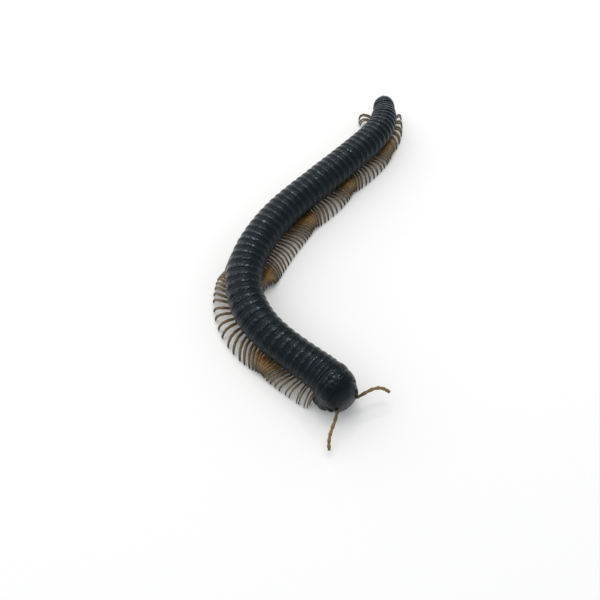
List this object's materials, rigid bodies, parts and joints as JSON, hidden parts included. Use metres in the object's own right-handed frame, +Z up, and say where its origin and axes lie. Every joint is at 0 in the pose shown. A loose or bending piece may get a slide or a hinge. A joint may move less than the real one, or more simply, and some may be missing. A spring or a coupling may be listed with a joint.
{
  "type": "giant millipede",
  "caption": "Giant millipede model: black ringed cylindrical body walking on waves of amber legs, with a domed head, elbowed antennae and a rounded tail.",
  "frame": {"origin": "centre of the bounding box's underside, on the floor the feet stand on", "axes": "+Z up, +Y along the length of the body from head to tail, +X to the image right of the picture"},
  "size_m": [0.0628, 0.1316, 0.0132],
  "materials": {
    "shell": "satin",
    "horn": "satin",
    "antenna_brown": "satin",
    "eye_black": "gloss"
  },
  "bodies": {
    "root": {"antenna_left": "antenna_brown", "antenna_right": "antenna_brown", "chin_plate": "horn", "collum": "shell", "eye_left": "eye_black", "eye_right": "eye_black", "head": "shell", "mandible_left": "horn", "mandible_right": "horn", "telson": "shell", "trunk_1": "shell", "trunk_2": "shell", "trunk_3": "shell", "trunk_4": "shell", "trunk_5": "shell", "trunk_6": "shell", "valve_left": "shell", "valve_right": "shell"}
  },
  "joints": []
}
